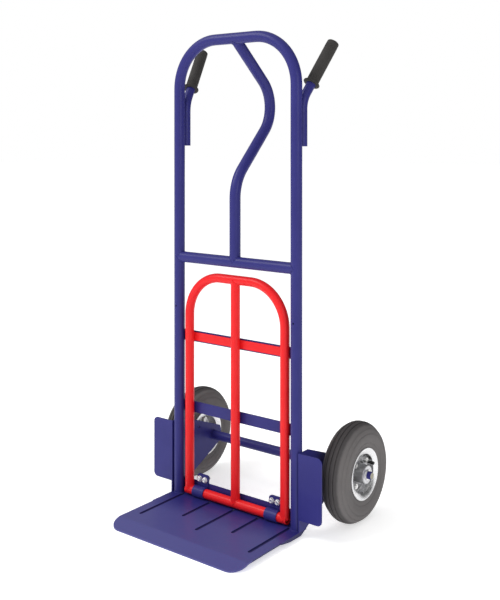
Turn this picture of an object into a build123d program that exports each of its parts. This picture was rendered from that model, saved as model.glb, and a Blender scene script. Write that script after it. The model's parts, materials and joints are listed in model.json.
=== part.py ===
from build123d import *
import math
import os

# Hand truck with a fold-down toe extension.
# Frame: +Z is up, -Y is the front (the toe plate), X = 0 is the middle plane.
# The origin is on the floor, under the middle of the truck's footprint.
# "left" is the -X side and "right" is the +X side.

os.makedirs("parts", exist_ok=True)

# ---------------------------------------------------------------- driving dimensions (mm)
wheel_radius = 130.0            # 3.00-4 pneumatic wheel
tyre_half_width = 36.5
tread_half_width = 3.0          # the middle of the tread, before it rounds off
tread_groove_spacing = 12.0
tread_groove_width = 2.6
tread_groove_depth = 2.8
axle_behind_rails = 165.0
toe_reach = 262.0               # rail centre plane to the lip of the toe plate
rail_y = (toe_reach - axle_behind_rails - wheel_radius) / 2
axle_y = rail_y + axle_behind_rails
axle_z = wheel_radius

rail_radius = 15.0              # main frame tube, 30 x 2
frame_wall = 2.0
rail_x = 200.0
hoop_top_z = 1278.0
hoop_bend = 130.0
crossbar_z = 677.5
rail_hole_z = 540.0
rail_hole_radius = 2.5

grab_nose_y = 199.6             # corners of the grab handle's centre line, behind the rails
grab_nose_z = 1102.0
grab_waist_z = 894.0
grab_nose_bend = 95.0
grab_waist_bend = 115.0

small_radius = 12.5             # handles and extension, 25 x 1.5 tube
small_wall = 1.5
handle_foot_z = 989.0
handle_corner_z = 1108.0
handle_bend = 75.0
handle_out = 0.18               # outboard and rearward run of a handle for each mm of rise
handle_back = 0.67
handle_rise = 152.0
grip_start_rise = 42.0
grip_radius = 16.5
grip_flange_radius = 22.5

toe_top_z = 15.0
toe_thickness = 4.0
toe_half_width = 215.0
toe_corner = 38.0
toe_slope_start = 218.0         # the front band falls from here, measured from the rail plane
toe_rear = 22.0
groove_width = 10.0
groove_depth = 3.2
groove_rear = -2.0
grooves = ((-182.0, 176.0), (-83.0, 118.0), (0.0, 161.0), (83.0, 118.0), (182.0, 176.0))

bar_height = 30.0
bar_thickness = 4.0
bar_half_length = 203.0
upper_bar_z = 456.0
lower_bar_z = 258.0

pivot_y = rail_y + 1.5
pivot_z = 31.0
pivot_half_length = 172.0
extension_x = 163.0
extension_top_z = 629.5
extension_bend = 110.0
strip_z = 456.5
strip_height = 23.0
strip_thickness = 3.5

hinge_rail_y = rail_y + 14.5
hinge_rail_thickness = 3.0
hinge_rail_top_z = 54.0
hinge_rail_half_length = 194.0
ear_top_z = 76.0
clamp_x = 124.0
clamp_width = 38.0
clamp_thickness = 3.2
pivot_clearance = 0.06
clamp_bolt_spacing = 19.0
clamp_bolt_z = 63.5

bracket_x = 215.0               # inner face of the bracket's side plate
bracket_thickness = 3.0
guard_width = 70.0
guard_y = rail_y - 14.0         # front face of the guard
guard_bottom_z = 46.0
guard_top_z = 214.3
bracket_hole_radius = 3.0
bracket_hole_z = 168.0
bracket_hole_behind_rails = 103.0
guard_corner = 13.0

axle_radius = 10.0
axle_half_length = 325.0
axle_tube_radius = 13.0
wheel_x = 272.4
hub_half_length = 39.0
hub_radius = 24.0
bearing_radius = 21.0
bearing_width = 12.0
inner_ring_radius = 13.4        # outside of a bearing's inner ring
outer_ring_bore = 17.6          # inside of its outer ring
race_depth = 1.1                # how deep the ball race is cut in either ring
race_half_width = 3.2
ball_radius = 3.0
ball_circle = 15.5
ball_count = 10
shield_thickness = 0.6
shield_inset = 0.4
collar_radius = 12.9
axle_washer_radius = 13.2
axle_washer_thickness = 2.0
circlip_radius = 12.6
circlip_thickness = 1.2
circlip_groove_depth = 0.6
rim_lip_radius = 67.0
rim_half_width = 33.0
disc_offset = 4.0               # the two rim halves meet this far outboard of the wheel's middle
rim_sheet = 2.2
seat_radius = 50.0
rim_bolt_circle = 38.0
rim_bolt_count = 4
boss_height = 9.0
boss_radius = 11.5
valve_circle = 43.0
valve_offset = 9.9              # how far outboard the valve leaves the rim
valve_radius = 3.0
valve_turn = 65.0               # degrees from straight up towards the rear
valve_tip = 31.0                # outboard end of the stem, from the wheel's middle
tube_middle = 88.5              # centre line radius of the inner tube
tube_half_height = 31.0
tube_half_width = 23.0
tube_wall = 2.0

m8_radius = 4.0
m8_flats = 13.0
m8_head = 5.3
m8_nut = 6.5
washer_radius = 8.0
washer_thickness = 1.5

sides = (("left", -1), ("right", 1))


def write(part, name):
    """Label one finished piece and write it to its own file."""
    part.label = name
    export_step(part, f"parts/{name}.step")


def bent_tube(points, bend, outer, wall):
    """A round tube whose centre line is straight runs joined by one bend radius."""
    with BuildPart() as tube:
        with BuildLine() as centre_line:
            if bend:
                FilletPolyline(*points, radius=bend)
            else:
                Polyline(*points)
        with BuildSketch(centre_line.line ^ 0):
            Circle(outer)
            Circle(outer - wall, mode=Mode.SUBTRACT)
        sweep()
    return tube.part


def turned(profile, plane):
    """A piece turned about the plane's Z: profile points are (radius, distance along Z)."""
    half_section = Plane(origin=plane.origin, x_dir=plane.x_dir, z_dir=-plane.y_dir)
    with BuildPart() as piece:
        with BuildSketch(half_section):
            with BuildLine():
                Polyline(*profile, close=True)
            make_face()
        revolve(axis=Axis(plane.origin, plane.z_dir))
    return piece.part


def ring(plane, outer, inner, low, high):
    """A plain round ring between two distances along the plane's Z."""
    return turned([(inner, low), (outer, low), (outer, high), (inner, high)], plane)


def hex_prism(plane, across_flats, height):
    """A hexagon with its outer corners turned off, as on a bolt head or a nut."""
    corner = across_flats * 0.5
    with BuildPart() as prism:
        with BuildSketch(plane):
            RegularPolygon(across_flats / 2, 6, major_radius=False)
        extrude(amount=height)
        with BuildSketch(plane):
            Circle(corner * 1.3)
        extrude(amount=height, taper=14, mode=Mode.INTERSECT)
    return prism.part


def wheel_plane(side):
    """Plane at the wheel's middle whose Z points outboard along the axle."""
    return Plane(origin=(side * wheel_x, axle_y, axle_z), x_dir=(0, 0, 1), z_dir=(side, 0, 0))


# ---------------------------------------------------------------- main frame tubes
with BuildPart() as main_hoop:
    foot = (-rail_x, rail_y, toe_top_z)
    corners = [foot, (-rail_x, rail_y, hoop_top_z), (rail_x, rail_y, hoop_top_z)]
    corners.append((rail_x, rail_y, toe_top_z))
    add(bent_tube(corners, hoop_bend, rail_radius, frame_wall))
    # one small hole through the front wall of each rail
    with BuildSketch(Plane(origin=(0, rail_y, rail_hole_z), x_dir=(1, 0, 0), z_dir=(0, -1, 0))):
        with Locations((-rail_x, 0), (rail_x, 0)):
            Circle(rail_hole_radius)
    extrude(amount=rail_radius + 1, mode=Mode.SUBTRACT)
write(main_hoop.part, "main_hoop")

with BuildPart() as mid_crossbar:
    ends = [(-rail_x, rail_y, crossbar_z), (rail_x, rail_y, crossbar_z)]
    add(bent_tube(ends, 0, rail_radius, frame_wall))
    # the ends are notched to fit round the rails
    with BuildSketch(Plane.XY.offset(crossbar_z - 2 * rail_radius)):
        with Locations((-rail_x, rail_y), (rail_x, rail_y)):
            Circle(rail_radius)
    extrude(amount=4 * rail_radius, mode=Mode.SUBTRACT)
write(mid_crossbar.part, "mid_crossbar")


def bent_in_middle_plane(points, bends, outer, wall):
    """A tube in the plane X = 0 with its own radius at each corner."""
    with BuildPart() as tube:
        with BuildLine() as centre_line:
            FilletPolyline(*points, radius=bends)
        with BuildSketch(centre_line.line ^ 0):
            Circle(outer)
            Circle(outer - wall, mode=Mode.SUBTRACT)
        sweep()
    return tube.part


with BuildPart() as grab_handle:
    route = [
        (0, rail_y, hoop_top_z),
        (0, rail_y + grab_nose_y, grab_nose_z),
        (0, rail_y, grab_waist_z),
        (0, rail_y, crossbar_z),
    ]
    bends = [grab_nose_bend, grab_waist_bend]
    add(bent_in_middle_plane(route, bends, rail_radius, frame_wall))
    # notched at the top round the hoop and at the foot round the crossbar
    with BuildSketch(Plane.YZ.offset(-2 * rail_radius)):
        with Locations((rail_y, hoop_top_z), (rail_y, crossbar_z)):
            Circle(rail_radius)
    extrude(amount=4 * rail_radius, mode=Mode.SUBTRACT)
    # what is left of the tube's end beyond the hoop is trimmed away
    with BuildSketch(Plane.YZ.offset(-2 * rail_radius)):
        with Locations((rail_y - rail_radius, hoop_top_z + rail_radius)):
            Rectangle(4 * rail_radius, 2 * rail_radius)
    extrude(amount=4 * rail_radius, mode=Mode.SUBTRACT)
write(grab_handle.part, "grab_handle")

# ---------------------------------------------------------------- rear handles and their grips
handle_y = rail_y + rail_radius + small_radius
for name, side in sides:
    slope = Vector(side * handle_out, handle_back, 1)
    corner = Vector(side * rail_x, handle_y, handle_corner_z)
    tip = corner + slope * handle_rise
    grip_plane = Plane(origin=corner + slope * grip_start_rise, z_dir=slope.normalized())
    grip_length = slope.length * (handle_rise - grip_start_rise)

    with BuildPart() as handle_stub:
        add(bent_tube([(side * rail_x, handle_y, handle_foot_z), corner, tip],
                      handle_bend, small_radius, small_wall))
    write(handle_stub.part, f"handle_stub_{name}")

    with BuildPart() as hand_grip:
        with BuildSketch(Plane(grip_plane.origin, grip_plane.x_dir, -grip_plane.y_dir)):
            with BuildLine():
                Polyline((small_radius, 0), (grip_flange_radius - 2, 0))
                ThreePointArc((grip_flange_radius - 2, 0), (grip_flange_radius, 2.5),
                              (grip_flange_radius - 2, 5))
                Polyline((grip_flange_radius - 2, 5), (grip_radius + 2, 6), (grip_radius, 8),
                         (grip_radius - 0.5, grip_length), (grip_radius - 2, grip_length + 3),
                         (0, grip_length + 4), (0, grip_length), (small_radius, grip_length),
                         (small_radius, 0))
            make_face()
        revolve(axis=Axis(grip_plane.origin, grip_plane.z_dir))
    write(hand_grip.part, f"hand_grip_{name}")

# ---------------------------------------------------------------- flat bars behind the rails
for name, height in (("upper_flat_bar", upper_bar_z), ("lower_flat_bar", lower_bar_z)):
    with BuildPart() as flat_bar:
        with BuildSketch(Plane(origin=(0, rail_y + rail_radius, height), x_dir=(-1, 0, 0), z_dir=(0, 1, 0))):
            RectangleRounded(2 * bar_half_length, bar_height, 2)
        extrude(amount=bar_thickness)
    write(flat_bar.part, name)

# ---------------------------------------------------------------- toe plate
lip_y = rail_y - toe_reach
band_y = rail_y - toe_slope_start
with BuildPart() as toe_plate:
    with BuildSketch(Plane.YZ.offset(-toe_half_width)):
        with BuildLine():
            FilletPolyline((lip_y, toe_thickness), (band_y, toe_top_z), (rail_y + toe_rear, toe_top_z),
                           radius=20)
            Line((rail_y + toe_rear, toe_top_z), (rail_y + toe_rear, toe_top_z - toe_thickness))
            FilletPolyline((rail_y + toe_rear, toe_top_z - toe_thickness),
                           (band_y + 1, toe_top_z - toe_thickness), (lip_y, 0), radius=16)
            Line((lip_y, 0), (lip_y, toe_thickness))
        make_face()
    extrude(amount=2 * toe_half_width)
    # seen from above, the two front corners are round
    with BuildSketch(Plane.XY):
        with BuildLine():
            FilletPolyline((-toe_half_width, rail_y + toe_rear), (-toe_half_width, lip_y),
                           (toe_half_width, lip_y), (toe_half_width, rail_y + toe_rear),
                           radius=toe_corner)
            Line((toe_half_width, rail_y + toe_rear), (-toe_half_width, rail_y + toe_rear))
        make_face()
    extrude(amount=toe_top_z, mode=Mode.INTERSECT)
    # stiffening grooves pressed down from above, each with its bulge below
    for groove_x, groove_front in grooves:
        groove_length = groove_front + groove_rear
        middle = (groove_x, rail_y + groove_rear - groove_length / 2)
        with BuildSketch(Plane.XY.offset(toe_top_z - toe_thickness)):
            with Locations(middle):
                SlotOverall(groove_length + 4, groove_width + 4, rotation=90)
        extrude(amount=-groove_depth)
        with BuildSketch(Plane.XY.offset(toe_top_z)):
            with Locations(middle):
                SlotOverall(groove_length, groove_width, rotation=90)
        extrude(amount=-groove_depth, taper=22, mode=Mode.SUBTRACT)
write(toe_plate.part, "toe_plate")

# ---------------------------------------------------------------- hinge of the toe extension
with BuildPart() as hinge_rail:
    face_plane = Plane(origin=(0, hinge_rail_y, 0), x_dir=(-1, 0, 0), z_dir=(0, 1, 0))
    ear_height = ear_top_z - toe_top_z
    with BuildSketch(face_plane):
        with Locations((0, (toe_top_z + hinge_rail_top_z) / 2)):
            Rectangle(2 * hinge_rail_half_length, hinge_rail_top_z - toe_top_z)
        with Locations((-clamp_x, toe_top_z + ear_height / 2), (clamp_x, toe_top_z + ear_height / 2)):
            RectangleRounded(clamp_width, ear_height, 6)
        with Locations((-clamp_x, clamp_bolt_z), (clamp_x, clamp_bolt_z)):
            with GridLocations(clamp_bolt_spacing, 1, 2, 1):
                Circle(m8_radius, mode=Mode.SUBTRACT)
    extrude(amount=hinge_rail_thickness)
write(hinge_rail.part, "hinge_rail")

strap_inner = small_radius + pivot_clearance
strap_outer = strap_inner + clamp_thickness
ear_front_y = hinge_rail_y - clamp_thickness
for name, side in sides:
    with BuildPart() as hinge_clamp:
        # a strap round the front of the pivot tube
        with BuildSketch(Plane.YZ.offset(side * clamp_x - clamp_width / 2)):
            with Locations((pivot_y, pivot_z)):
                Circle(strap_outer)
            with Locations(((ear_front_y + hinge_rail_y) / 2, (pivot_z + ear_top_z) / 2)):
                Rectangle(clamp_thickness, ear_top_z - pivot_z)
            with Locations((pivot_y, pivot_z)):
                Circle(strap_inner, mode=Mode.SUBTRACT)
            # open at the back, where the hinge rail closes it
            with Locations((hinge_rail_y + strap_outer / 2, pivot_z)):
                Rectangle(strap_outer, 2 * strap_outer, mode=Mode.SUBTRACT)
            with Locations((pivot_y + strap_outer, pivot_z - 1.5)):
                Rectangle(2 * strap_outer - 20, 18, mode=Mode.SUBTRACT)
        extrude(amount=clamp_width)
        ear_corners = hinge_clamp.edges().filter_by(Axis.Y).group_by(Axis.Z)[-1]
        fillet(ear_corners, 6)
        with BuildSketch(Plane(origin=(side * clamp_x, ear_front_y - 1, clamp_bolt_z),
                               x_dir=(-1, 0, 0), z_dir=(0, 1, 0))):
            with GridLocations(clamp_bolt_spacing, 1, 2, 1):
                Circle(m8_radius)
        extrude(amount=clamp_thickness + 2, mode=Mode.SUBTRACT)
    write(hinge_clamp.part, f"hinge_clamp_{name}")

bolt_spots = []
for name, side in sides:
    for step in (-0.5, 0.5):
        bolt_spots.append(side * clamp_x + step * clamp_bolt_spacing)
hinge_grip = clamp_thickness + hinge_rail_thickness

with BuildPart() as clamp_bolts:
    for spot in bolt_spots:
        seat = Plane(origin=(spot, ear_front_y - washer_thickness, clamp_bolt_z),
                     x_dir=(1, 0, 0), z_dir=(0, -1, 0))
        add(hex_prism(seat, m8_flats, m8_head))
        with BuildSketch(seat):
            Circle(m8_radius)
        extrude(amount=-(2 * washer_thickness + hinge_grip + m8_nut + 3))
write(clamp_bolts.part, "clamp_bolts")

with BuildPart() as clamp_nuts:
    for spot in bolt_spots:
        seat = Plane(origin=(spot, hinge_rail_y + hinge_rail_thickness + washer_thickness, clamp_bolt_z),
                     x_dir=(1, 0, 0), z_dir=(0, 1, 0))
        add(hex_prism(seat, m8_flats, m8_nut))
        with BuildSketch(seat):
            Circle(m8_radius)
        extrude(amount=m8_nut, mode=Mode.SUBTRACT)
write(clamp_nuts.part, "clamp_nuts")

with BuildPart() as clamp_washers:
    for spot in bolt_spots:
        for face_y in (ear_front_y, hinge_rail_y + hinge_rail_thickness + washer_thickness):
            with BuildSketch(Plane(origin=(spot, face_y, clamp_bolt_z), x_dir=(1, 0, 0), z_dir=(0, -1, 0))):
                Circle(washer_radius)
                Circle(m8_radius, mode=Mode.SUBTRACT)
            extrude(amount=washer_thickness)
write(clamp_washers.part, "clamp_washers")

# ---------------------------------------------------------------- fold-down toe extension
with BuildPart() as extension_hoop:
    route = [
        (-extension_x, pivot_y, pivot_z),
        (-extension_x, pivot_y, extension_top_z),
        (extension_x, pivot_y, extension_top_z),
        (extension_x, pivot_y, pivot_z),
    ]
    add(bent_tube(route, extension_bend, small_radius, small_wall))
    with BuildSketch(Plane.YZ.offset(-pivot_half_length)):
        with Locations((pivot_y, pivot_z)):
            Circle(small_radius)
    extrude(amount=2 * pivot_half_length, mode=Mode.SUBTRACT)
write(extension_hoop.part, "extension_hoop")

with BuildPart() as extension_pivot_tube:
    ends = [(-pivot_half_length, pivot_y, pivot_z), (pivot_half_length, pivot_y, pivot_z)]
    add(bent_tube(ends, 0, small_radius, small_wall))
write(extension_pivot_tube.part, "extension_pivot_tube")

with BuildPart() as extension_center_tube:
    add(bent_tube([(0, pivot_y, pivot_z), (0, pivot_y, extension_top_z)], 0, small_radius, small_wall))
    with BuildSketch(Plane.YZ.offset(-2 * small_radius)):
        with Locations((pivot_y, pivot_z), (pivot_y, extension_top_z)):
            Circle(small_radius)
    extrude(amount=4 * small_radius, mode=Mode.SUBTRACT)
    # the notched stubs that stick out past the tubes are trimmed away
    with BuildSketch(Plane.XY.offset(pivot_z)):
        with Locations((0, pivot_y)):
            Rectangle(4 * small_radius, 4 * small_radius)
    extrude(amount=-small_radius, mode=Mode.SUBTRACT)
write(extension_center_tube.part, "extension_center_tube")

with BuildPart() as extension_strips:
    strip_back_y = pivot_y + small_radius
    with BuildSketch(Plane(origin=(0, strip_back_y, strip_z), x_dir=(1, 0, 0), z_dir=(0, -1, 0))):
        Rectangle(2 * extension_x, strip_height)
    extrude(amount=strip_thickness)
    # notched round the three upright tubes, which leaves one strip each side
    with BuildSketch(Plane.XY.offset(strip_z - strip_height)):
        with Locations((-extension_x, pivot_y), (0, pivot_y), (extension_x, pivot_y)):
            Circle(small_radius)
    extrude(amount=2 * strip_height, mode=Mode.SUBTRACT)
write(extension_strips.part, "extension_strips")

# ---------------------------------------------------------------- wheel brackets and axle
for name, side in sides:
    with BuildPart() as wheel_bracket:
        with BuildSketch(Plane(origin=(side * bracket_x, 0, 0), x_dir=(0, 1, 0), z_dir=(1, 0, 0))):
            with BuildLine():
                Polyline(
                    (guard_y, toe_top_z),
                    (guard_y, guard_top_z),
                    (rail_y + 29, guard_top_z),
                    (rail_y + 197, 150),
                    (rail_y + 201, 140),
                    (rail_y + 200, 106),
                    (rail_y + 188, 101),
                    (rail_y - 5.8, 4.6),
                    (rail_y - 53, 5.5),
                    (rail_y - 90, 11.5),
                    (rail_y - 90, toe_top_z),
                    close=True,
                )
            make_face()
            with Locations((rail_y + bracket_hole_behind_rails, bracket_hole_z)):
                Circle(bracket_hole_radius, mode=Mode.SUBTRACT)
            with Locations((axle_y, axle_z)):
                Circle(axle_radius, mode=Mode.SUBTRACT)
        extrude(amount=side * bracket_thickness)
    write(wheel_bracket.part, f"wheel_bracket_{name}")

    # a guard stands in front of the wheel, welded to the bracket's front edge
    guard_reach = guard_width - bracket_thickness
    guard_middle_x = side * (bracket_x + bracket_thickness + guard_reach / 2)
    with BuildPart() as wheel_guard:
        with BuildSketch(Plane(origin=(0, guard_y, 0), x_dir=(1, 0, 0), z_dir=(0, -1, 0))):
            with Locations((guard_middle_x, (guard_bottom_z + guard_top_z) / 2)):
                Rectangle(guard_reach, guard_top_z - guard_bottom_z)
        extrude(amount=-bracket_thickness)
        outermost = -1 if side > 0 else 0
        fillet(wheel_guard.edges().filter_by(Axis.Y).group_by(Axis.X)[outermost], guard_corner)
    write(wheel_guard.part, f"wheel_guard_{name}")

axle_end = Plane(origin=(0, axle_y, axle_z), x_dir=(0, 0, 1), z_dir=(1, 0, 0))
washer_x = wheel_x + hub_half_length
circlip_x = washer_x + axle_washer_thickness
with BuildPart() as axle_rod:
    chamfer_length = 1.5
    groove_floor = axle_radius - circlip_groove_depth
    profile = [
        (0, -axle_half_length),
        (axle_radius - chamfer_length, -axle_half_length),
        (axle_radius, -axle_half_length + chamfer_length),
        (axle_radius, -circlip_x - circlip_thickness),
        (groove_floor, -circlip_x - circlip_thickness),
        (groove_floor, -circlip_x),
        (axle_radius, -circlip_x),
        (axle_radius, circlip_x),
        (groove_floor, circlip_x),
        (groove_floor, circlip_x + circlip_thickness),
        (axle_radius, circlip_x + circlip_thickness),
        (axle_radius, axle_half_length - chamfer_length),
        (axle_radius - chamfer_length, axle_half_length),
        (0, axle_half_length),
    ]
    add(turned(profile, axle_end))
write(axle_rod.part, "axle_rod")

with BuildPart() as axle_tube:
    add(ring(axle_end, axle_tube_radius, axle_tube_radius - 2.5, -bracket_x, bracket_x))
write(axle_tube.part, "axle_tube")


def both_ends(outer, inner, low, high):
    """The same ring on the left and on the right end of the axle, as two solids."""
    with BuildPart() as pair:
        add(ring(axle_end, outer, inner, low, high))
        add(ring(axle_end, outer, inner, -high, -low))
    return pair.part


collar_start = bracket_x + bracket_thickness
hub_inner_x = wheel_x - hub_half_length
axle_collars = both_ends(collar_radius, axle_radius, collar_start, hub_inner_x)
write(axle_collars, "axle_collars")
axle_washers = both_ends(axle_washer_radius, axle_radius, washer_x, circlip_x)
write(axle_washers, "axle_washers")
axle_circlips = both_ends(circlip_radius, groove_floor, circlip_x, circlip_x + circlip_thickness)
write(axle_circlips, "axle_circlips")
spacer_start = hub_inner_x + bearing_width
spacer_end = washer_x - bearing_width
bearing_spacers = both_ends(inner_ring_radius - 0.9, axle_radius, spacer_start, spacer_end)
write(bearing_spacers, "bearing_spacers")


def bearing_ring(plane, low, back, face, race):
    """One bearing ring between its back and its face, with a race for the balls in the face."""
    middle = low + bearing_width / 2
    profile = [
        (back, low),
        (face, low),
        (face, middle - race_half_width),
        (race, middle - race_half_width),
        (race, middle + race_half_width),
        (face, middle + race_half_width),
        (face, low + bearing_width),
        (back, low + bearing_width),
    ]
    return turned(profile, plane)


# inner bearing rings stay on the axle
with BuildPart() as bearing_inner_rings:
    for start in (-washer_x, -spacer_start, hub_inner_x, spacer_end):
        add(bearing_ring(axle_end, start, axle_radius, inner_ring_radius, inner_ring_radius - race_depth))
write(bearing_inner_rings.part, "bearing_inner_rings")

# ---------------------------------------------------------------- wheels
seat_outer = seat_radius + rim_sheet


def rim_half(plane, direction, meet):
    """One pressed half of the rim: a disc, a bead seat and a dished lip.

    direction is +1 for the outboard half and -1 for the inboard half; meet is the
    distance along the axle at which the two halves are bolted together.
    """
    edge = direction * rim_half_width
    back = meet + direction * rim_sheet
    inner_side = [
        (hub_radius, meet),
        (seat_outer, meet),
        (seat_outer, edge - direction * 7),
        (rim_lip_radius - 5, edge - direction * 3.6),
        (rim_lip_radius, edge - direction * 2.6),
    ]
    outer_side = [
        (rim_lip_radius, edge),
        (rim_lip_radius - 5.5, edge - direction * 1.2),
        (seat_radius, edge - direction * 5),
        (seat_radius, back + direction * 3),
        (seat_radius - 3, back),
        (hub_radius, back),
    ]
    return turned(inner_side + outer_side, plane)


def valve_plane(side):
    """Plane through the axle and the valve: X is the distance from the axle, Y is outboard."""
    turn = math.radians(valve_turn)
    up_and_back = Vector(0, math.sin(turn), math.cos(turn))
    outboard = Vector(side, 0, 0)
    return Plane(origin=(side * wheel_x, axle_y, axle_z), x_dir=up_and_back,
                 z_dir=up_and_back.cross(outboard))


def valve_hole(side):
    """The hole that the valve passes through, square to the bead seat."""
    plane = valve_plane(side)
    start = plane.from_local_coords(Vector(seat_radius - 4, valve_offset, 0))
    with BuildPart() as drill:
        with BuildSketch(Plane(origin=start, z_dir=plane.x_dir)):
            Circle(valve_radius + 0.3)
        extrude(amount=10)
    return drill.part


for name, side in sides:
    middle = wheel_plane(side)

    with BuildPart() as tyre:
        half_section = Plane(origin=middle.origin, x_dir=middle.x_dir, z_dir=-middle.y_dir)
        with BuildSketch(half_section):
            with BuildLine():
                # points are (radius, distance from the wheel's middle); the casing is even both sides
                Line((wheel_radius, tread_half_width), (wheel_radius, -tread_half_width))
                for way in (-1, 1):
                    TangentArc((wheel_radius, way * tread_half_width), (124.0, way * 20),
                               tangent=(0, way))
                    ThreePointArc((124.0, way * 20), (117.5, way * 28.8), (108, way * 34))
                    ThreePointArc((108, way * 34), (95, way * tyre_half_width), (82, way * 34))
                    Polyline((82, way * 34), (68.4, way * 31.6), (67.6, way * 30), (53.4, way * 25.2),
                             (52.5, way * 22), (52.5, way * 14), (57, way * 18), (68, way * 27),
                             (82, way * 30.4), (95, way * 32.6), (107, way * 30), (115, way * 24),
                             (120, way * 16), (122.5, way * 6))
                Line((122.5, -6), (122.5, 6))
            make_face()
        revolve(axis=Axis(middle.origin, middle.z_dir))
        # tread grooves
        half_groove = tread_groove_width / 2
        for offset in (-tread_groove_spacing, 0.0, tread_groove_spacing):
            floor = wheel_radius - tread_groove_depth
            cutter = ring(middle, wheel_radius + 1, floor, offset - half_groove, offset + half_groove)
            add(cutter, mode=Mode.SUBTRACT)
    write(tyre.part, f"tyre_{name}")

    with BuildPart() as inner_tube:
        with BuildSketch(Plane(origin=middle.origin, x_dir=middle.x_dir, z_dir=-middle.y_dir)):
            with Locations((tube_middle, 0)):
                Ellipse(tube_half_height, tube_half_width)
                Ellipse(tube_half_height - tube_wall, tube_half_width - tube_wall, mode=Mode.SUBTRACT)
        revolve(axis=Axis(middle.origin, middle.z_dir))
    write(inner_tube.part, f"inner_tube_{name}")

    with BuildPart() as rim_outer:
        add(rim_half(middle, 1, disc_offset))
        # hollow bosses pressed out to carry the nuts
        disc_face = middle.offset(disc_offset + rim_sheet)
        with BuildSketch(disc_face):
            with PolarLocations(rim_bolt_circle, rim_bolt_count, start_angle=45):
                Circle(boss_radius)
        extrude(amount=boss_height, taper=15)
        with BuildSketch(middle.offset(disc_offset)):
            with PolarLocations(rim_bolt_circle, rim_bolt_count, start_angle=45):
                Circle(boss_radius - rim_sheet)
        extrude(amount=boss_height, taper=15, mode=Mode.SUBTRACT)
        with BuildSketch(disc_face):
            with PolarLocations(rim_bolt_circle, rim_bolt_count, start_angle=45):
                Circle(m8_radius)
        extrude(amount=boss_height, mode=Mode.SUBTRACT)
        add(valve_hole(side), mode=Mode.SUBTRACT)
    write(rim_outer.part, f"rim_outer_{name}")

    with BuildPart() as rim_inner:
        add(rim_half(middle, -1, disc_offset))
        with BuildSketch(middle.offset(disc_offset)):
            with PolarLocations(rim_bolt_circle, rim_bolt_count, start_angle=45):
                Circle(m8_radius)
        extrude(amount=-rim_sheet, mode=Mode.SUBTRACT)
    write(rim_inner.part, f"rim_inner_{name}")

    bolt_head_face = disc_offset - rim_sheet
    boss_face = disc_offset + rim_sheet + boss_height
    with BuildPart() as rim_bolts:
        for spot in PolarLocations(rim_bolt_circle, rim_bolt_count, start_angle=45).local_locations:
            seat = Plane(middle.offset(bolt_head_face).location * spot)
            add(hex_prism(Plane(seat.origin, seat.x_dir, -seat.z_dir), m8_flats, m8_head))
            with BuildSketch(seat):
                Circle(m8_radius)
            extrude(amount=boss_face + m8_nut + 2 - bolt_head_face)
    write(rim_bolts.part, f"rim_bolts_{name}")

    with BuildPart() as rim_nuts:
        for spot in PolarLocations(rim_bolt_circle, rim_bolt_count, start_angle=45).local_locations:
            seat = Plane(middle.offset(boss_face).location * spot)
            add(hex_prism(seat, m8_flats, m8_nut))
            with BuildSketch(seat):
                Circle(m8_radius)
            extrude(amount=m8_nut, mode=Mode.SUBTRACT)
    write(rim_nuts.part, f"rim_nuts_{name}")

    seat_depth = hub_half_length - bearing_width
    hub = turned([(bearing_radius, -hub_half_length), (hub_radius - 0.8, -hub_half_length),
                  (hub_radius, -hub_half_length + 0.8), (hub_radius, hub_half_length - 0.8),
                  (hub_radius - 0.8, hub_half_length), (bearing_radius, hub_half_length),
                  (bearing_radius, seat_depth), (bearing_radius - 2, seat_depth),
                  (bearing_radius - 2, -seat_depth), (bearing_radius, -seat_depth)], middle)
    write(hub, f"hub_{name}")

    with BuildPart() as bearing_outer_rings:
        for low in (-hub_half_length, seat_depth):
            add(bearing_ring(middle, low, bearing_radius, outer_ring_bore, outer_ring_bore + race_depth))
    write(bearing_outer_rings.part, f"bearing_outer_rings_{name}")

    with BuildPart() as bearing_balls:
        for low in (-hub_half_length, seat_depth):
            with Locations(middle.offset(low + bearing_width / 2)):
                with PolarLocations(ball_circle, ball_count):
                    Sphere(ball_radius)
    write(bearing_balls.part, f"bearing_balls_{name}")

    shield_starts = []
    for low in (-hub_half_length, seat_depth):
        shield_starts.append(low + shield_inset)
        shield_starts.append(low + bearing_width - shield_inset - shield_thickness)
    with BuildPart() as bearing_shields:
        for low in shield_starts:
            add(ring(middle, outer_ring_bore, inner_ring_radius + 0.3, low, low + shield_thickness))
    write(bearing_shields.part, f"bearing_shields_{name}")

    stem_plane = valve_plane(side)
    with BuildPart() as valve_stem:
        with BuildLine(stem_plane) as stem_line:
            FilletPolyline((59.0, valve_offset), (valve_circle, valve_offset),
                           (valve_circle, valve_tip), radius=7)
        with BuildSketch(stem_line.line ^ 0):
            Circle(valve_radius)
        sweep()
    write(valve_stem.part, f"valve_stem_{name}")

    cap_plane = Plane(origin=stem_plane.from_local_coords(Vector(valve_circle, valve_tip, 0)),
                      x_dir=(0, 0, 1), z_dir=(side, 0, 0))
    valve_cap = turned([(0, 0), (valve_radius, 0), (valve_radius, -5), (4.3, -5), (4.3, 3.6),
                        (3.4, 5), (0, 5)], cap_plane)
    write(valve_cap, f"valve_cap_{name}")
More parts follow.
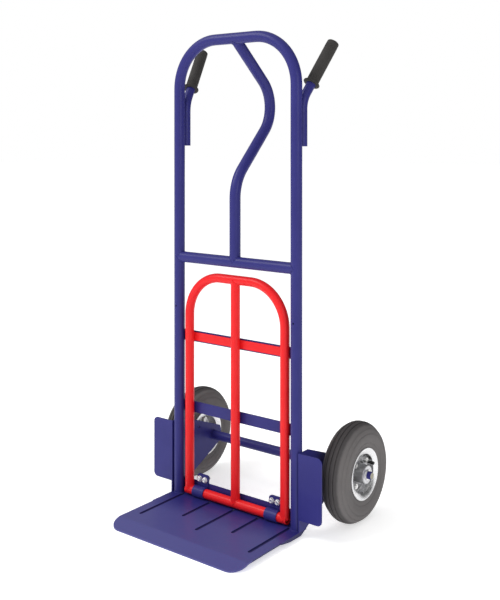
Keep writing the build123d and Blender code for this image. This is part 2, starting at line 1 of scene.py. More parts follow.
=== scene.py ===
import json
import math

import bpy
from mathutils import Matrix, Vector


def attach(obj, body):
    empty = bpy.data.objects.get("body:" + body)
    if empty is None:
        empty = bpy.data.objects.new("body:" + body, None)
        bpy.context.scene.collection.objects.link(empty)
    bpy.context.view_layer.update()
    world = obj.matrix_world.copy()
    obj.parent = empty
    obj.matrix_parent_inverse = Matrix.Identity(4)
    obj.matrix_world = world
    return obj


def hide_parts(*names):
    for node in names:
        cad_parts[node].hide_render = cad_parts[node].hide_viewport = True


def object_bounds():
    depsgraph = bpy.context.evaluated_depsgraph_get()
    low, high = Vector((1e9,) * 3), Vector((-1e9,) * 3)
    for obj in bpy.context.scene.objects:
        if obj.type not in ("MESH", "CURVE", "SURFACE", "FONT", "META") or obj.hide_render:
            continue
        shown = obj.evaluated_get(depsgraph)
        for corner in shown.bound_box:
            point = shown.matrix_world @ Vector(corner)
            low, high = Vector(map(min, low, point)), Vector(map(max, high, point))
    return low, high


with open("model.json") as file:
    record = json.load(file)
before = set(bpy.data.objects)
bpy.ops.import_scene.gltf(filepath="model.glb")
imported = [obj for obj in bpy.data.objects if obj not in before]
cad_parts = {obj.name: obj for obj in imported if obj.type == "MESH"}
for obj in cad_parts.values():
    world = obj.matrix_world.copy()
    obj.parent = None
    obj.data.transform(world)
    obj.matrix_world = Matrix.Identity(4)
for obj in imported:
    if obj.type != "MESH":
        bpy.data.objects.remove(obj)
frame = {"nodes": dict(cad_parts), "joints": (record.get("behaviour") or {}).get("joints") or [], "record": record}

# %% [markdown]
# This script dresses a hand truck. The frame that was just loaded holds every steel
# tube, plate, wheel and bolt at its real size and place, in metres, with +Z up and the
# toe plate towards -Y. Those meshes stay as they are: here they get their paint, plating
# and rubber, and some pieces that a CAD model leaves plain are modelled again in detail.
# First come the modules, the names of the two sides, and the places that later cells
# measure from: the wheels' and the folding part's axes, as the frame states them, and
# the plane of the two rails, which are the long tubes of the frame.

cad_low, cad_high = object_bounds()
nodes = frame["nodes"]
for plain in list(bpy.data.materials):
    bpy.data.materials.remove(plain)
scene = bpy.context.scene
SIDES = (("left", -1), ("right", 1))
axes = {joint["name"]: joint["pos_m"] for joint in frame["joints"]}
WHEEL_X, AXLE_Y, AXLE_Z = axes["wheel_right_spin"]
PIVOT_Y, PIVOT_Z = axes["extension_fold"][1:]
AXLE_END = cad_high[0]
RAIL_X, RAIL_Y = 0.200, -0.0165
PLATE_TOP = 0.0150
print("truck size", [round(high - low, 4) for low, high in zip(cad_low, cad_high)])

# %% [markdown]
# The camera stands level, a little above the middle of the truck and to its right, so
# that all uprights stay upright in the picture. The lens is shifted down instead of
# tilting the camera, which is how a studio camera keeps upright edges parallel.

# %% Camera
CAMERA_PLACE = (1.5035, -1.8955, 1.0095)
CAMERA_TURN = math.radians(37.71)
bpy.ops.object.camera_add(location=CAMERA_PLACE, rotation=(math.radians(90), 0, CAMERA_TURN))
camera = bpy.context.object
camera.name = "camera"
camera.data.sensor_width = 36
camera.data.lens = 53.85
camera.data.shift_y = -0.2694
scene.camera = camera
print("camera", camera.data.lens, "mm lens")

# %% [markdown]
# The studio is a wide pale floor and a bright surround. The surround is bright on the
# side that faces the front of the truck and dim behind it, so round tubes get a soft
# gradient and a dark far edge. The backdrop itself is white wherever the camera sees
# it, which a Light Path node allows without changing how the truck is lit.

# %% Surround
LIGHT_FROM = Vector((-0.33, -0.72, 0.72)).normalized()
world = bpy.data.worlds.new("studio")
scene.world = world
world.use_nodes = True
tree = world.node_tree
tree.nodes.clear()


def world_node(kind, **settings):
    """Add one node to the surround and set its properties."""
    made = tree.nodes.new(kind)
    for key, value in settings.items():
        setattr(made, key, value)
    return made


direction = world_node("ShaderNodeTexCoord")
facing = world_node("ShaderNodeVectorMath", operation="DOT_PRODUCT")
facing.inputs[1].default_value = LIGHT_FROM
brightness = world_node("ShaderNodeMapRange", interpolation_type="SMOOTHSTEP")
brightness.inputs["From Min"].default_value = -0.75
brightness.inputs["From Max"].default_value = 0.85
brightness.inputs["To Min"].default_value = 0.05
brightness.inputs["To Max"].default_value = 0.72
surround = world_node("ShaderNodeBackground")
backdrop = world_node("ShaderNodeBackground")
rays = world_node("ShaderNodeLightPath")
choice = world_node("ShaderNodeMixShader")
output = world_node("ShaderNodeOutputWorld")
tree.links.new(direction.outputs["Generated"], facing.inputs[0])
tree.links.new(facing.outputs["Value"], brightness.inputs["Value"])
tree.links.new(brightness.outputs["Result"], surround.inputs["Strength"])
tree.links.new(rays.outputs["Is Camera Ray"], choice.inputs["Fac"])
tree.links.new(surround.outputs[0], choice.inputs[1])
tree.links.new(backdrop.outputs[0], choice.inputs[2])
tree.links.new(choice.outputs[0], output.inputs["Surface"])
surround.inputs["Color"].default_value = (1, 1, 1, 1)
backdrop.inputs["Color"].default_value = (1, 1, 1, 1)
scene.view_settings.view_transform = "Standard"
print("surround from", [round(value, 2) for value in LIGHT_FROM])

# %% [markdown]
# Two large area lights do the work of softboxes. The larger one stands to the left in
# front and high up; the smaller one lifts the wheel on the near side. The floor glows a
# little, as paper with its own lamp does, so that it melts into the white behind it and
# still takes a soft shadow under the wheels.

# %% Softboxes and floor


def softbox(name, place, aim, size, power):
    """A square area light that points from its place to the aim."""
    bpy.ops.object.light_add(type="AREA", location=place)
    light = bpy.context.object
    light.name = name
    light.data.size = size
    light.data.energy = power
    light.rotation_euler = (Vector(aim) - Vector(place)).to_track_quat("-Z", "Y").to_euler()


LOW_MIDDLE = (0, 0, 0.4)
softbox("key_softbox", (-2.2, -2.4, 3.8), LOW_MIDDLE, size=2.2, power=95)
softbox("side_softbox", (3.2, -1.2, 1.6), LOW_MIDDLE, size=1.6, power=22)

bpy.ops.mesh.primitive_plane_add(size=60, location=(0, 0, 0))
floor = bpy.context.object
floor.name = "floor"
paper = bpy.data.materials.new("floor_paper")
paper.use_nodes = True
surface = paper.node_tree.nodes["Principled BSDF"].inputs
surface["Base Color"].default_value = (0.95, 0.95, 0.95, 1)
surface["Roughness"].default_value = 0.9
surface["Emission Color"].default_value = (1, 1, 1, 1)
surface["Emission Strength"].default_value = 0.52
floor.data.materials.append(paper)

# %% [markdown]
# A finish on a real machine is never one flat colour, so every material below is built
# from noise and maths. Wiring that by hand is hard to read. Two small classes make it
# read like a formula: a Wire is one value inside a material and can be added or
# multiplied, and a Finish is a material that can add any node.

# %% Wires and finishes


class Wire:
    """One value inside a material, which takes part in plain Python sums."""

    def __init__(self, finish, socket):
        self.finish = finish
        self.socket = socket

    def maths(self, operation, *values):
        return self.finish.node("ShaderNodeMath", {"operation": operation}, dict(enumerate(values)))

    def __add__(self, other):
        return self.maths("ADD", self, other)

    def __radd__(self, other):
        return self.maths("ADD", other, self)

    def __sub__(self, other):
        return self.maths("SUBTRACT", self, other)

    def __rsub__(self, other):
        return self.maths("SUBTRACT", other, self)

    def __mul__(self, other):
        return self.maths("MULTIPLY", self, other)

    def __rmul__(self, other):
        return self.maths("MULTIPLY", other, self)

    def __pow__(self, other):
        return self.maths("POWER", self, other)

    def __abs__(self):
        return self.maths("ABSOLUTE", self)


class Finish:
    """A material with one main shader, and a method that adds any other node."""

    def __init__(self, name, **constants):
        self.material = bpy.data.materials.new(name)
        self.material.use_nodes = True
        self.tree = self.material.node_tree
        self.shader = self.tree.nodes["Principled BSDF"]
        for key, value in constants.items():
            self.shader.inputs[key.replace("_", " ")].default_value = value

    def feed(self, socket, value):
        """Link a wire to a socket, or set the socket to a number or a colour."""
        if isinstance(value, Wire):
            self.tree.links.new(value.socket, socket)
        elif isinstance(value, tuple) and len(value) == 3 and socket.type == "RGBA":
            socket.default_value = (*value, 1)
        else:
            socket.default_value = value

    def node(self, kind, settings=None, inputs=None, out=0):
        """Add a node: its settings are made first, then its inputs are set or linked."""
        made = self.tree.nodes.new(kind)
        for key, value in (settings or {}).items():
            setattr(made, key, value)
        for key, value in (inputs or {}).items():
            self.feed(made.inputs[key], value)
        return Wire(self, made.outputs[out])

    def sets(self, **inputs):
        """Feed inputs of the main shader, such as Base_Color."""
        for key, value in inputs.items():
            self.feed(self.shader.inputs[key.replace("_", " ")], value)

    def place(self):
        """Where a point is on the truck, in metres."""
        return self.node("ShaderNodeTexCoord", out="Object")

    def along(self, axis):
        """How far a point is along one axis, 0 for X, 1 for Y or 2 for Z."""
        return self.node("ShaderNodeSeparateXYZ", {}, {0: self.place()}, axis)

    def from_axle(self):
        """How far a point is from the line through the wheels' middles, in metres."""
        return ((self.along(1) - AXLE_Y) ** 2.0 + (self.along(2) - AXLE_Z) ** 2.0) ** 0.5

    def noise(self, scale, detail, rough=0.5):
        """Soft noise from 0 to 1, with about this many bumps in a metre."""
        inputs = {"Vector": self.place(), "Scale": scale, "Detail": detail, "Roughness": rough}
        return self.node("ShaderNodeTexNoise", {}, inputs, "Fac")

    def step(self, value, low, high):
        """0 below low, 1 above high and smooth between."""
        settings = {"interpolation_type": "SMOOTHSTEP"}
        return self.node("ShaderNodeMapRange", settings, {"Value": value, "From Min": low, "From Max": high})

    def blend(self, share, first, second):
        """A colour between two colours."""
        return self.node("ShaderNodeMix", {"data_type": "RGBA"}, {0: share, 6: first, 7: second}, 2)

    def bump(self, height, distance, strength):
        """Turn a height into a bent normal; distance is in metres."""
        inputs = {"Height": height, "Distance": distance, "Strength": strength}
        return self.node("ShaderNodeBump", {}, inputs, "Normal")


def tone(red, green, blue):
    """A colour given as it looks on a screen, from 0 to 255, as the renderer's linear values."""
    return tuple(((value / 255 + 0.055) / 1.055) ** 2.4 for value in (red, green, blue))


print("shader helpers ready")

# %% [markdown]
# The frame is powder coated. Powder melts into a thick, even film with a very fine
# orange peel, slightly uneven gloss and here and there a lighter patch where the film
# is thinner. The same recipe serves the blue frame and the red extension. The two ends
# of the axle were sawn off after painting, so they show bare steel. The toe plate, which
# is all that lies no higher than its top face in front, is painted paler towards its
# front as a painted sheen, and its grooves are painted darker as painted shade, though
# not on the slope that its front edge falls to.

# %% Powder coat
SLOPE_START = -0.226
# The colour of the painted shade in the toe plate's grooves.
GROOVE_SHADE = tone(27, 26, 74)
BARE_STEEL = (0.33, 0.31, 0.24)


def powder_coat(name, body, light, roughness, sheen_colour):
    """A tough baked paint: its colour, its lighter patches, dullness, and the colour of the painted sheen on the
    toe plate.
    """
    finish = Finish(name, Specular_IOR_Level=0.2, Coat_Roughness=0.12, Coat_IOR=1.45)
    patches = finish.step(finish.noise(9.0, 4.0, 0.6), 0.35, 0.75)
    specks = finish.step(finish.noise(420.0, 2.0), 0.62, 0.74)
    colour = finish.blend(patches * 0.35, body, light)
    colour = finish.blend(specks * 0.25, colour, light)
    on_plate = 1.0 - finish.step(finish.along(2), PLATE_TOP + 0.0002, PLATE_TOP + 0.0010)
    # Painted sheen: the top of the toe plate is painted paler towards its front edge.
    plate_sheen = finish.step(0.0 - finish.along(1) + patches * 0.02, 0.045, 0.150)
    colour = finish.blend(on_plate * plate_sheen * 0.9, colour, sheen_colour)
    # Painted shade: the toe plate's grooves are painted darker, but not on its front slope.
    sunk = 1.0 - finish.step(finish.along(2), PLATE_TOP - 0.0004, PLATE_TOP - 0.00001)
    groove_shade = sunk * finish.step(finish.along(1), SLOPE_START, SLOPE_START + 0.010)
    colour = finish.blend(groove_shade * 0.8, colour, GROOVE_SHADE)
    sawn = finish.step(abs(finish.along(0)), AXLE_END - 0.0002, AXLE_END - 0.00005)
    colour = finish.blend(sawn, colour, BARE_STEEL)
    smear = finish.noise(26.0, 5.0, 0.65)
    peel = finish.noise(650.0, 2.0, 0.4) + finish.noise(190.0, 1.0) * 0.6
    finish.sets(
        Base_Color=colour,
        Metallic=sawn * 0.8,
        Roughness=smear * 0.14 + roughness,
        Coat_Weight=smear * 0.1 + 0.03,
        Normal=finish.bump(peel, 0.00025, 0.35),
    )
    return finish.material


# The last colour of each paint is the painted sheen on the toe plate's top.
blue_paint = powder_coat("blue_paint", tone(43, 42, 112), tone(56, 55, 128), 0.36, tone(80, 80, 140))
red_paint = powder_coat("red_paint", tone(228, 24, 30), tone(242, 48, 48), 0.32, tone(240, 60, 60))
print("paints", blue_paint.name, red_paint.name)

# %% [markdown]
# Rubber has no gloss to speak of, but it is never even: the tyre carries a little road
# dust in its low spots, its tread is painted darker as painted shade, and the grips have
# a fine moulded grain so that they don't slip in the hand. The dust and the grain come
# from noise at the size of the real grain.

# %% Rubber


def rubber(name, body, dusty, grain, depth, roughness, tread=None):
    """Matt rubber: colours, grains in a metre, their depth in metres, dullness, and the tread's colour, which is
    painted shade.
    """
    finish = Finish(name, Specular_IOR_Level=0.25)
    dust = finish.step(finish.noise(14.0, 6.0, 0.7), 0.42, 0.72)
    fine = finish.noise(grain, 3.0, 0.6)
    wear = finish.noise(60.0, 4.0, 0.6)
    colour = finish.blend(dust * 0.45 + fine * 0.2, body, dusty)
    if tread:
        # Painted shade: the tread is painted darker than the sidewalls.
        shaded_tread = finish.step(finish.from_axle() + wear * 0.002, 0.1215, 0.1262)
        colour = finish.blend(shaded_tread * 0.85, colour, tread)
    finish.sets(
        Base_Color=colour,
        Roughness=wear * 0.2 + roughness,
        Normal=finish.bump(fine + wear * 0.5, depth, 0.5),
    )
    return finish.material


tyre_rubber = rubber("tyre_rubber", tone(104, 101, 101), tone(113, 109, 108), 900.0, 0.0003, 0.66,
                     tread=tone(66, 63, 64))
grip_rubber = rubber("grip_rubber", tone(54, 52, 51), tone(70, 68, 66), 1500.0, 0.0005, 0.68)
tube_rubber = rubber("tube_rubber", tone(24, 24, 25), tone(44, 43, 42), 1200.0, 0.0002, 0.55)
print("rubbers ready")

# %% [markdown]
# Bolts and washers are zinc plated, and the rims are bright plated sheet. Plating
# follows the steel below it, so it keeps faint drawing marks, and its gloss changes
# from place to place where it has been handled. The dish of a rim stays duller than
# its polished lip, and it is also painted darker as painted shade. The two valve caps
# are moulded in black plastic.

# %% Plated steel and plastic


def plated(name, body, stained, roughness, scratch, dish=None):
    """Bright metal: its colour, its dull spots' colour, dullness, scratch depth, and the dish's darker colour,
    which is painted shade.
    """
    finish = Finish(name, Metallic=1.0)
    cloud = finish.noise(45.0, 5.0, 0.65)
    marks = finish.noise(700.0, 2.0, 0.5)
    spots = finish.step(finish.noise(130.0, 3.0), 0.6, 0.78)
    colour = finish.blend(spots * 0.35 + cloud * 0.2, body, stained)
    dull = cloud * 0.16 + marks * 0.08 + roughness
    if dish:
        # Painted shade: the dish is painted darker, and it is also made rougher.
        inside = 1.0 - finish.step(finish.from_axle(), 0.0470, 0.0495)
        colour = finish.blend(inside * 0.9, colour, dish)
        dull = dull + inside * 0.16
    finish.sets(
        Base_Color=colour,
        Roughness=dull,
        Normal=finish.bump(marks + cloud, scratch, 0.3),
    )
    return finish.material


zinc_plate = plated("zinc_plate", (0.86, 0.86, 0.85), (0.62, 0.61, 0.57), 0.22, 0.0002)
rim_plate = plated("rim_plate", (0.80, 0.80, 0.81), (0.58, 0.58, 0.59), 0.16, 0.0002,
                   dish=(0.40, 0.40, 0.41))
bearing_steel = plated("bearing_steel", (0.66, 0.66, 0.68), (0.45, 0.45, 0.47), 0.24, 0.0001)

moulded = Finish("black_plastic", Specular_IOR_Level=0.4)
grain = moulded.noise(1800.0, 2.0)
moulded.sets(
    Base_Color=moulded.blend(grain, tone(20, 20, 21), tone(36, 36, 37)),
    Roughness=grain * 0.25 + 0.38,
    Normal=moulded.bump(grain, 0.0002, 0.4),
)
black_plastic = moulded.material
print("plating and plastic ready")

# %% [markdown]
# Every CAD node says in the record which finish it has, so one loop dresses them all.

# %% Dress the CAD nodes
finishes = {material.name: material for material in (
    blue_paint, red_paint, tyre_rubber, grip_rubber, tube_rubber,
    zinc_plate, rim_plate, bearing_steel, black_plastic,
)}
for part in frame["record"]["subparts"]:
    mesh = nodes[part["node"]].data
    mesh.materials.clear()
    mesh.materials.append(finishes[part["material_slot"]])
print("dressed", len(nodes), "nodes")

# %% [markdown]
# The pieces that were turned on a lathe or came out of a round mould are modelled again
# in finer detail. One helper does it: it draws an outline point by point, as radius and
# distance along the axis, and spins it round. The outline is closed when its last point
# is its first. Outlines are in millimetres, which read more easily at this size.

# %% Turning outlines


def empty_start(name, place):
    """A mesh that holds one vertex, in edit mode, ready to be drawn from."""
    bpy.ops.object.select_all(action="DESELECT")
    bpy.ops.mesh.primitive_plane_add(size=0.001, location=place)
    piece = bpy.context.object
    piece.name = name
    bpy.ops.object.transform_apply(location=True)
    bpy.ops.object.mode_set(mode="EDIT")
    bpy.ops.mesh.select_all(action="SELECT")
    bpy.ops.mesh.merge(type="CENTER")
    return piece


def draw_on(points):
    """Extrude the last vertex from point to point."""
    for start, end in zip(points, points[1:]):
        bpy.ops.mesh.extrude_region_move(TRANSFORM_OT_translate={"value": end - start})


def lathe(name, profile, middle, axis, steps=96):
    """Turn an outline in millimetres about an axis through the middle."""
    along = Vector(axis).normalized()
    outward = along.orthogonal().normalized()
    middle = Vector(middle)
    points = [middle + (outward * radius + along * run) / 1000 for radius, run in profile]
    piece = empty_start(name, points[0])
    draw_on(points)
    bpy.ops.mesh.select_all(action="SELECT")
    bpy.ops.mesh.spin(steps=steps, angle=math.tau, center=middle, axis=along)
    bpy.ops.mesh.select_all(action="SELECT")
    bpy.ops.mesh.remove_doubles(threshold=2e-6)
    bpy.ops.mesh.normals_make_consistent(inside=False)
    bpy.ops.object.mode_set(mode="OBJECT")
    return piece


def join(name, pieces):
    """Make one named piece of several."""
    bpy.ops.object.select_all(action="DESELECT")
    for piece in pieces:
        piece.select_set(True)
    bpy.context.view_layer.objects.active = pieces[0]
    bpy.ops.object.join()
    pieces[0].name = name
    return pieces[0]


def settle(piece, body, slot, *stands_for):
    """Shade a piece, give it its finish and its body, and hide the nodes that it stands for."""
    bpy.ops.object.select_all(action="DESELECT")
    piece.select_set(True)
    bpy.context.view_layer.objects.active = piece
    bpy.ops.object.shade_smooth_by_angle(angle=math.radians(32))
    piece.data.materials.clear()
    piece.data.materials.append(finishes[slot])
    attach(piece, body)
    if stands_for:
        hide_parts(*stands_for)


print("lathe ready")

# %% [markdown]
# The tyre is a ribbed pneumatic one. Its outline runs from the middle of the tread over
# the shoulder and down the side to the bead seat. Three grooves are cut straight into the
# tread, and each side has three fine moulded lines. The other half mirrors it.

# %% Tyres
TYRE_RADIUS = 130.0
TREAD_FLAT = 3.0
TREAD_CURVE = 27.08
# Distance from the middle, and how deep the tread is cut there.
TREAD = (
    (0, 2.8), (1.0, 2.8), (1.5, 0.4), (2.1, 0), (4.0, 0), (7.0, 0), (9.9, 0), (10.6, 0.4),
    (11.1, 2.6), (12.9, 2.6), (13.4, 0.4), (14.1, 0), (17.0, 0), (20.0, 0),
)
# Radius, and distance from the middle.
SIDEWALL = (
    (122.2, 22.9), (119.9, 26.2), (117.5, 28.7), (115.8, 30.0), (115.3, 29.4), (114.5, 29.9),
    (114.0, 31.2), (111.0, 32.8), (108.0, 33.9), (104.2, 35.0), (103.6, 34.3), (102.7, 34.5),
    (102.1, 35.5), (98.5, 36.3), (95.0, 36.5), (91.5, 36.2), (87.0, 35.3), (82.0, 33.9),
    (80.7, 33.6), (80.1, 32.8), (79.1, 32.5), (78.4, 33.0), (74.0, 32.3), (70.0, 31.6),
    (68.4, 31.1), (67.7, 30.5), (67.4, 30.0), (60.0, 27.7), (53.6, 25.2), (52.7, 22.0),
    (52.6, 14.0),
)


def tread_radius(distance):
    """Radius of the tread before it is grooved: flat in the middle, then an even curve."""
    rise = math.sqrt(TREAD_CURVE ** 2 - max(0.0, distance - TREAD_FLAT) ** 2)
    return TYRE_RADIUS - TREAD_CURVE + rise


half = [(tread_radius(distance) - cut, distance) for distance, cut in TREAD] + list(SIDEWALL)
section = [(radius, -distance) for radius, distance in reversed(half)] + half[1:]
section.append(section[0])
for side_name, side in SIDES:
    middle = (side * WHEEL_X, AXLE_Y, AXLE_Z)
    tyre = lathe(f"tyre_shell_{side_name}", section, middle, (side, 0, 0), steps=144)
    settle(tyre, f"wheel_{side_name}", "tyre_rubber", f"tyre_{side_name}")
print("tyre outline", len(section), "points")

# %% [markdown]
# Each rim is two pressed halves, which meet back to back a little outboard of the tyre's
# middle. The sheet keeps its thickness all the way: out from the weld collar at the hub,
# up the bead seat in a soft bend, then out along the lip to a rolled edge. The outer half
# carries four hollow bosses for the bolts.

# %% Rims
RIM_SHEET = 2.2
RIM_JOINT = 4.0
HUB_HOLE = 24.2
SEAT_OUTSIDE = 52.2
# Radius, and height over the face of the disc.
DISC = ((HUB_HOLE, -RIM_SHEET), (HUB_HOLE, 4.0), (25.2, 4.2), (26.4, 3.0), (27.4, 0.8), (28.6, 0.1),
        (30.0, 0), (45.8, 0), (48.0, 0.7), (49.4, 2.3), (50.0, 4.6))
# Radius, and distance from the middle of the tyre.
LIP = (
    (50.0, 25.6), (50.5, 27.5), (51.8, 28.7), (61.0, 31.5), (63.6, 32.5), (65.4, 33.0), (66.5, 32.7),
    (67.0, 31.8), (66.7, 30.8), (65.6, 30.2), (62.0, 29.2), (53.6, 26.6), (52.5, 25.6),
    (SEAT_OUTSIDE, 24.0),
)
BOLT_CIRCLE = 38.0
BOSS = (
    (4.3, 8.4), (4.6, 8.9), (8.0, 9.0), (8.8, 8.7), (9.4, 7.8), (11.2, 1.6), (11.9, 0.5), (13.0, 0.02),
    (13.0, -0.6), (4.3, -0.6), (4.3, 8.4),
)


def rim_outline(way):
    """The section of one rim half, in millimetres: way is +1 for the outer half, -1 for the inner."""
    face = RIM_JOINT + way * RIM_SHEET
    outline = [(radius, face + way * rise) for radius, rise in DISC]
    outline += [(radius, way * distance) for radius, distance in LIP]
    return outline + [(SEAT_OUTSIDE, RIM_JOINT + way * 0.01), (HUB_HOLE, RIM_JOINT)]


for side_name, side in SIDES:
    middle = Vector((side * WHEEL_X, AXLE_Y, AXLE_Z))
    outboard = Vector((side, 0, 0))
    pieces = [lathe("disc", rim_outline(1), middle, outboard)]
    for turn in (45, 135, 225, 315):
        around = Vector((0, math.cos(math.radians(turn)), math.sin(math.radians(turn))))
        seat = middle + (around * BOLT_CIRCLE + outboard * (RIM_JOINT + RIM_SHEET)) / 1000
        pieces.append(lathe("boss", BOSS, seat, outboard, steps=32))
    outer = join(f"rim_shell_outer_{side_name}", pieces)
    settle(outer, f"wheel_{side_name}", "rim_plate", f"rim_outer_{side_name}")
    inner = lathe(f"rim_shell_inner_{side_name}", rim_outline(-1), middle, outboard)
    settle(inner, f"wheel_{side_name}", "rim_plate", f"rim_inner_{side_name}")
print("rims ready, disc outline", len(rim_outline(1)), "points")

# %% [markdown]
# The grips are moulded rubber sleeves with a closed end. A rounded flange keeps the
# hand off the tube, three fine rings lie near either end, and the end is domed with a
# small dimple. A grip starts a little above the corner where its handle leans outward
# and back.

# %% Grips
GRIP_RADIUS = 16.5
GRIP_LENGTH = 133.9
RING_DEPTH = 0.5
HANDLE_OUT, HANDLE_BACK = 0.18, 0.67
CORNER_Y, CORNER_Z = RAIL_Y + 0.0275, 1.108
GRIP_RISE = 0.042
outline = [(12.5, 0.0), (19.6, 0.0), (21.4, 0.5), (22.4, 1.7), (22.4, 3.3), (21.4, 4.5), (19.8, 5.1),
           (18.2, 5.9), (17.1, 7.2), (16.6, 9.0)]
for ring_start in (14.0, 18.5, 23.0, 112.0, 116.5, 121.0):
    for run, depth in ((0.0, 0.0), (0.5, RING_DEPTH), (1.3, RING_DEPTH), (1.8, 0.0)):
        outline.append((GRIP_RADIUS - depth, ring_start + run))
outline.append((16.4, 128.0))
for radius, run in ((16.3, 0.4), (16.0, 1.5), (15.0, 2.4), (13.0, 2.8), (3.0, 3.0), (2.4, 2.0), (0.0, 2.0)):
    outline.append((radius, GRIP_LENGTH + run))
for side_name, side in SIDES:
    slope = Vector((side * HANDLE_OUT, HANDLE_BACK, 1))
    start = Vector((side * RAIL_X, CORNER_Y, CORNER_Z)) + slope * GRIP_RISE
    grip = lathe(f"grip_sleeve_{side_name}", outline, start, slope, steps=64)
    settle(grip, "frame", "grip_rubber", f"hand_grip_{side_name}")
print("grip outline", len(outline), "points")

# %% [markdown]
# Where one tube meets another there is a weld. It follows the saddle line of the joint,
# and as the two tubes are equally thick, its path is simple to work out: a point that
# goes round the joining tube is pushed along it until it lies on the other. A tube
# that ends on a plate has a round bead, and a flat piece a straight one. A chain of
# vertices drawn along a path becomes a curve with a round section, a little thicker and
# thinner in turn as a real bead is. On a saddle its middle lies 0.2 mm outside the tube.

# %% Weld beads
FRAME_TUBE, EXTENSION_TUBE = 15.2, 12.7
UP, DOWN, SIDEWAYS = (0, 0, 1), (0, 0, -1), (1, 0, 0)


def bead(points, thickness=1.5):
    """A weld bead along a path; the thickness is its radius in millimetres."""
    piece = empty_start("bead", points[0])
    draw_on(points)
    bpy.ops.mesh.select_all(action="SELECT")
    bpy.ops.mesh.remove_doubles(threshold=1e-6)
    bpy.ops.object.mode_set(mode="OBJECT")
    bpy.ops.object.convert(target="CURVE")
    piece.data.bevel_depth = thickness / 1000
    piece.data.bevel_resolution = 2
    piece.data.use_fill_caps = True
    for spline in piece.data.splines:
        for index, point in enumerate(spline.points):
            point.radius = 1.12 if index % 2 else 0.88
    bpy.ops.object.convert(target="MESH")
    bpy.ops.object.mode_set(mode="EDIT")
    bpy.ops.mesh.select_all(action="SELECT")
    bpy.ops.mesh.normals_make_consistent(inside=False)
    bpy.ops.object.mode_set(mode="OBJECT")
    return piece


def saddle(centre, along, across, radius):
    """The line where a tube that leaves along one way meets an equal tube that lies across."""
    centre, along, across = Vector(centre), Vector(along).normalized(), Vector(across).normalized()
    beside = along.cross(across)
    steps = 48
    path = []
    for index in range(steps + 1):
        turn = math.tau * index / steps
        way = across * math.cos(turn) + beside * math.sin(turn) + along * abs(math.cos(turn))
        path.append(centre + way * radius / 1000)
    return path


def straight(start, end):
    """Points along a straight weld, one for each ripple."""
    start, end = Vector(start), Vector(end)
    ripple = 0.0024
    count = max(4, round((end - start).length / ripple))
    return [start.lerp(end, index / count) for index in range(count + 1)]


def upright(x, y, span):
    """Points up a straight weld along a rail, from the lower to the upper end of its span."""
    return straight((x, y, span[0]), (x, y, span[1]))


def around_tube(centre, axis, radius):
    """Points round a tube that stands on a plate; the radius is in millimetres."""
    axis = Vector(axis)
    first = axis.orthogonal().normalized()
    second = axis.cross(first)
    steps = 40
    path = []
    for index in range(steps + 1):
        turn = math.tau * index / steps
        path.append(Vector(centre) + (first * math.cos(turn) + second * math.sin(turn)) * radius / 1000)
    return path


CROSSBAR_Z, HOOP_TOP_Z = 0.6775, 1.278
BAR_HEIGHTS, BAR_EDGE = (0.456, 0.258), 0.0155
BRACKET_X, GUARD_X = 0.2143, 0.2188
HANDLE_SPAN, BRACKET_SPAN, GUARD_SPAN = (0.9905, 1.072), (0.019, 0.2135), (0.048, 0.2125)
GRAB_LEAVES = (0, 199.6, -176)
frame_beads = []
for _, side in SIDES:
    rail = side * RAIL_X
    bracket = side * BRACKET_X
    frame_beads.append(bead(saddle((rail, RAIL_Y, CROSSBAR_Z), (-side, 0, 0), UP, FRAME_TUBE)))
    frame_beads.append(bead(around_tube((rail, RAIL_Y, PLATE_TOP + 0.0008), UP, 15.6), 1.8))
    for handle_shift, bracket_shift in ((-0.0052, -0.00598), (0.0052, 0.00598)):
        frame_beads.append(bead(upright(rail + handle_shift, RAIL_Y + 0.0151, HANDLE_SPAN)))
        frame_beads.append(bead(upright(bracket, RAIL_Y + bracket_shift, BRACKET_SPAN), 1.2))
    for bar_z in BAR_HEIGHTS:
        for edge in (bar_z - BAR_EDGE, bar_z + BAR_EDGE):
            inner_end = (side * 0.1935, RAIL_Y + 0.0144, edge)
            frame_beads.append(bead(straight(inner_end, (side * 0.2025, RAIL_Y + 0.0155, edge)), 1.4))
    frame_beads.append(bead(around_tube((bracket, AXLE_Y, AXLE_Z), SIDEWAYS, 13.5), 1.3))
    frame_beads.append(bead(upright(side * GUARD_X, RAIL_Y - 0.0102, GUARD_SPAN), 1.2))
frame_beads.append(bead(saddle((0, RAIL_Y, HOOP_TOP_Z), GRAB_LEAVES, SIDEWAYS, FRAME_TUBE)))
frame_beads.append(bead(saddle((0, RAIL_Y, CROSSBAR_Z), UP, SIDEWAYS, FRAME_TUBE)))
frame_welds = join("frame_welds", frame_beads)
settle(frame_welds, "frame", "blue_paint")

# The pivot tube ends close outside each leg of the extension, and the bead ends with it.
LEG_X, EXTENSION_TOP_Z, BEAD_END_X = 0.163, 0.6295, 0.1712
red_beads = [
    bead(saddle((0, PIVOT_Y, PIVOT_Z), UP, SIDEWAYS, EXTENSION_TUBE), 1.3),
    bead(saddle((0, PIVOT_Y, EXTENSION_TOP_Z), DOWN, SIDEWAYS, EXTENSION_TUBE), 1.3),
]
for _, side in SIDES:
    foot = saddle((side * LEG_X, PIVOT_Y, PIVOT_Z), UP, (side, 0, 0), EXTENSION_TUBE)
    red_beads.append(bead([point for point in foot if abs(point.x) < BEAD_END_X], 1.3))
extension_welds = join("extension_welds", red_beads)
settle(extension_welds, "toe_extension", "red_paint")
print("welds", len(frame_welds.data.polygons), len(extension_welds.data.polygons), "faces")

# %% [markdown]
# Two bolts hold each clamp of the hinge. They have hexagon heads with a turned chamfer
# and a shallow dish in the middle, and their threaded ends stand out of the nuts behind.
# A hexagon head starts as a six-sided primitive whose top face is drawn up, narrowed,
# set in and pushed down. It stands on a washer, and the washer on the clamp's ear.

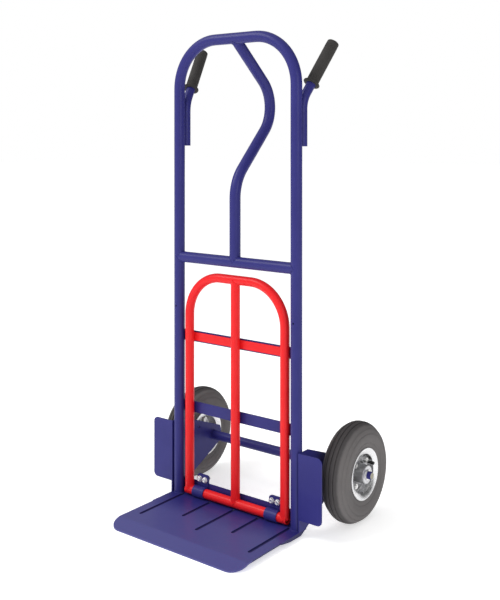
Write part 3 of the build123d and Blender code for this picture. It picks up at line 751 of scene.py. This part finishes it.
# %% Hinge bolts
CLAMP_X, BOLT_SHIFT, BOLT_Z = 0.124, 0.0095, 0.0635
HINGE_PLATE_Y = RAIL_Y + 0.0145
CLAMP_EAR, WASHER = 0.0032, 0.0015
# How far the top is drawn up, in millimetres, and how much of its width is left.
CHAMFERS = ((0.6, 0.93), (0.3, 0.90))


def hexagon(place, axis, flats, height, dish):
    """A hexagon head that stands on its place and faces along the axis, in millimetres."""
    bpy.ops.object.select_all(action="DESELECT")
    body = (height - sum(rise for rise, _ in CHAMFERS)) / 1000
    corner = flats / math.sqrt(3) / 1000
    bpy.ops.mesh.primitive_cylinder_add(vertices=6, radius=corner, depth=body, location=(0, 0, body / 2))
    piece = bpy.context.object
    bpy.ops.object.transform_apply(location=True)
    bpy.ops.object.mode_set(mode="EDIT")
    bpy.ops.mesh.select_all(action="DESELECT")
    bpy.ops.object.mode_set(mode="OBJECT")
    for polygon in piece.data.polygons:
        polygon.select = polygon.normal.z > 0.9
    bpy.ops.object.mode_set(mode="EDIT")
    bpy.ops.mesh.select_mode(type="FACE")
    for rise, width_left in CHAMFERS:
        bpy.ops.mesh.extrude_region_move(TRANSFORM_OT_translate={"value": (0, 0, rise / 1000)})
        bpy.ops.transform.resize(value=(width_left, width_left, 1))
    bpy.ops.mesh.inset(thickness=0.0014)
    bpy.ops.mesh.extrude_region_move(TRANSFORM_OT_translate={"value": (0, 0, -dish / 1000)})
    bpy.ops.transform.resize(value=(0.7, 0.7, 1))
    bpy.ops.mesh.select_all(action="SELECT")
    bpy.ops.mesh.normals_make_consistent(inside=False)
    bpy.ops.object.mode_set(mode="OBJECT")
    piece.rotation_euler = Vector(axis).to_track_quat("Z", "Y").to_euler()
    piece.location = place
    bpy.ops.object.transform_apply(location=True, rotation=True)
    return piece


def thread(place, axis, radius, length):
    """A threaded rod: fine vees along its length and a chamfered tip, in millimetres."""
    pitch, depth, tip = 1.25, 0.55, 1.2
    outline = [(0.0, 0.0)]
    run = 0.0
    while run < length - tip:
        outline += [(radius, run), (radius - depth, run + 0.62)]
        run += pitch
    outline += [(radius - 0.2, run), (radius - tip, length), (0.0, length)]
    return lathe("thread", outline, place, axis, steps=28)


bolts = []
for clamp in (-CLAMP_X, CLAMP_X):
    for shift in (-BOLT_SHIFT, BOLT_SHIFT):
        spot = (clamp + shift, HINGE_PLATE_Y - CLAMP_EAR - WASHER, BOLT_Z)
        bolts.append(hexagon(spot, (0, -1, 0), flats=13.0, height=5.3, dish=1.1))
        bolts.append(thread(spot, (0, 1, 0), radius=4.0, length=18.7))
hinge_bolts = join("hinge_bolts", bolts)
settle(hinge_bolts, "frame", "zinc_plate", "clamp_bolts")
print("hinge bolts", len(hinge_bolts.data.polygons), "faces")
